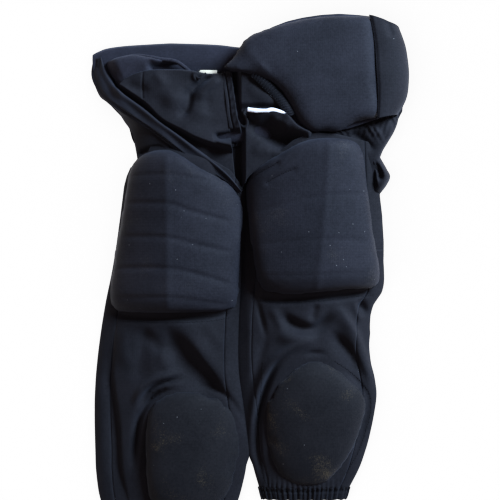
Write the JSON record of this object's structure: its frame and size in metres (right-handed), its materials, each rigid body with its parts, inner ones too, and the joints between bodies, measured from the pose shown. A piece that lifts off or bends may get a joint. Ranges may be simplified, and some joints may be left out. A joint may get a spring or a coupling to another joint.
{
  "type": "padded hockey pants",
  "caption": "Black stretch hockey pants with foam pads over hips, tailbone, thighs and knees, lying on their back with the waist thrown open and one hip pad folded forward.",
  "frame": {"origin": "middle of the footprint, on the surface that the pants lie on", "axes": "+X to the wearer's left, +Y towards the waist, +Z out of the front of the pants"},
  "size_m": [0.42, 0.682, 0.0467],
  "materials": {
    "shell_knit": "matte stretch knit",
    "pad_pocket_knit": "smooth stretch knit, soft sheen",
    "lining": "matte warp knit",
    "elastic": "ribbed elastic",
    "foam": "closed-cell foam",
    "label_satin": "woven satin",
    "tape_white": "woven tape"
  },
  "bodies": {
    "pelvis": {"right_seat_panel": "shell_knit", "left_seat_panel": "shell_knit", "back_waistband": "elastic", "crotch_gusset": "lining", "care_label": "label_satin", "tail_pad": "foam", "tail_pad_cover": "lining", "right_hip_pad": "foam", "right_hip_pad_cover": "lining", "front_rise_panel": "shell_knit", "right_front_waistband": "elastic", "fly_placket": "shell_knit", "right_hip_side_panel": "shell_knit", "right_groin_band": "elastic", "left_front_panel": "shell_knit", "left_front_waistband": "elastic", "waistband_tab": "tape_white", "left_side_gather": "shell_knit"},
    "left_hip_wing": {"left_hip_pad_backing": "lining", "left_hip_pad": "foam", "left_hip_pad_cover": "pad_pocket_knit", "left_hip_side_panel": "shell_knit"},
    "right_thigh": {"right_thigh_back_panel": "shell_knit", "right_thigh_front_panel": "shell_knit", "right_thigh_side_panel": "shell_knit", "right_thigh_inseam_panel": "shell_knit", "right_thigh_pad": "foam", "right_thigh_pad_cover": "pad_pocket_knit"},
    "right_shin": {"right_shin_back_panel": "shell_knit", "right_shin_front_panel": "shell_knit", "right_shin_side_panel": "shell_knit", "right_shin_inseam_panel": "shell_knit", "right_knee_pad": "foam", "right_knee_pad_cover": "pad_pocket_knit", "right_hem_cuff": "elastic"},
    "left_thigh": {"left_thigh_back_panel": "shell_knit", "left_thigh_front_panel": "shell_knit", "left_thigh_side_panel": "shell_knit", "left_thigh_inseam_panel": "shell_knit", "left_thigh_pad": "foam", "left_thigh_pad_cover": "pad_pocket_knit"},
    "left_shin": {"left_shin_back_panel": "shell_knit", "left_shin_front_panel": "shell_knit", "left_shin_side_panel": "shell_knit", "left_shin_inseam_panel": "shell_knit", "left_knee_pad": "foam", "left_knee_pad_cover": "pad_pocket_knit", "left_hem_cuff": "elastic"}
  },
  "joints": [
    {"name": "right_hip_fold", "type": "hinge", "parent": "pelvis", "child": "right_thigh", "pos_m": [-0.083, 0.167, 0.045], "axis": [-1, 0, 0], "range_deg": [0, 110]},
    {"name": "right_knee_fold", "type": "hinge", "parent": "right_thigh", "child": "right_shin", "pos_m": [-0.105, -0.106, 0], "axis": [1, 0, 0], "range_deg": [0, 130]},
    {"name": "left_hip_fold", "type": "hinge", "parent": "pelvis", "child": "left_thigh", "pos_m": [0.085, 0.183, 0.045], "axis": [-1, 0, 0], "range_deg": [0, 110]},
    {"name": "left_knee_fold", "type": "hinge", "parent": "left_thigh", "child": "left_shin", "pos_m": [0.072, -0.079, 0], "axis": [1, 0, 0], "range_deg": [0, 130]},
    {"name": "left_hip_wing_fold", "type": "hinge", "parent": "pelvis", "child": "left_hip_wing", "pos_m": [0.2, 0.265, 0.016], "axis": [0, 1, 0], "range_deg": [0, 105]}
  ]
}
